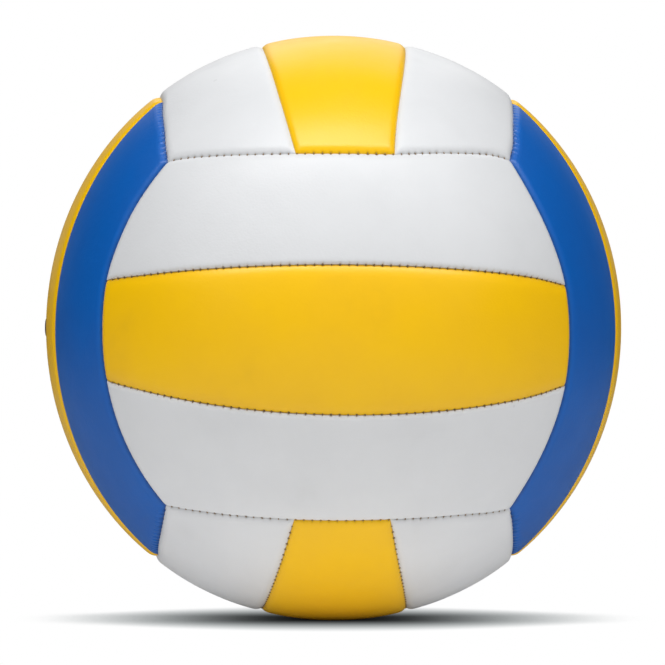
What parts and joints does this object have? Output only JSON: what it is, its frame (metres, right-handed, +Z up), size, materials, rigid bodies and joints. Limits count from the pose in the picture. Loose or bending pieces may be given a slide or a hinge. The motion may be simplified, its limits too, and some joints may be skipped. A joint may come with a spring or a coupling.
{
  "type": "volleyball",
  "caption": "Indoor volleyball of sewn striped panels in white, yellow and blue, with foam, cloth lining, an air bladder and a rubber valve whose plug can be pulled out.",
  "frame": {"origin": "centre of the ball", "axes": "+Z up as the ball stands in the picture, front face towards -Y, valve towards -X"},
  "size_m": [0.2104, 0.21, 0.21],
  "materials": {
    "white_leather": "satin",
    "yellow_leather": "satin",
    "blue_leather": "satin",
    "foam": "matte, fine cells",
    "lining_cloth": "plain weave",
    "thread": "twisted, waxed",
    "bladder_rubber": "matte",
    "valve_rubber": "satin"
  },
  "bodies": {
    "ball": {"panel_front_lower": "white_leather", "panel_front_middle": "yellow_leather", "panel_front_upper": "white_leather", "panel_back_lower": "white_leather", "panel_back_middle": "yellow_leather", "panel_back_upper": "white_leather", "panel_left_front": "blue_leather", "panel_left_middle": "yellow_leather", "panel_left_rear": "blue_leather", "panel_right_front": "blue_leather", "panel_right_middle": "yellow_leather", "panel_right_rear": "blue_leather", "panel_top_left": "white_leather", "panel_top_middle": "yellow_leather", "panel_top_right": "white_leather", "panel_bottom_left": "white_leather", "panel_bottom_middle": "yellow_leather", "panel_bottom_right": "white_leather", "foam_front_lower": "foam", "foam_front_middle": "foam", "foam_front_upper": "foam", "foam_back_lower": "foam", "foam_back_middle": "foam", "foam_back_upper": "foam", "foam_left_front": "foam", "foam_left_middle": "foam", "foam_left_rear": "foam", "foam_right_front": "foam", "foam_right_middle": "foam", "foam_right_rear": "foam", "foam_top_left": "foam", "foam_top_middle": "foam", "foam_top_right": "foam", "foam_bottom_left": "foam", "foam_bottom_middle": "foam", "foam_bottom_right": "foam", "lining_front": "lining_cloth", "lining_back": "lining_cloth", "lining_left": "lining_cloth", "lining_right": "lining_cloth", "lining_top": "lining_cloth", "lining_bottom": "lining_cloth", "thread_front": "thread", "thread_back": "thread", "thread_left": "thread", "thread_right": "thread", "thread_top": "thread", "thread_bottom": "thread", "bladder": "bladder_rubber", "valve_housing": "valve_rubber"},
    "plug": {"valve_plug": "valve_rubber"}
  },
  "joints": [
    {"name": "plug_pull", "type": "slide", "parent": "ball", "child": "plug", "axis": [-1, 0, 0], "range_m": [0, 0.02]}
  ]
}
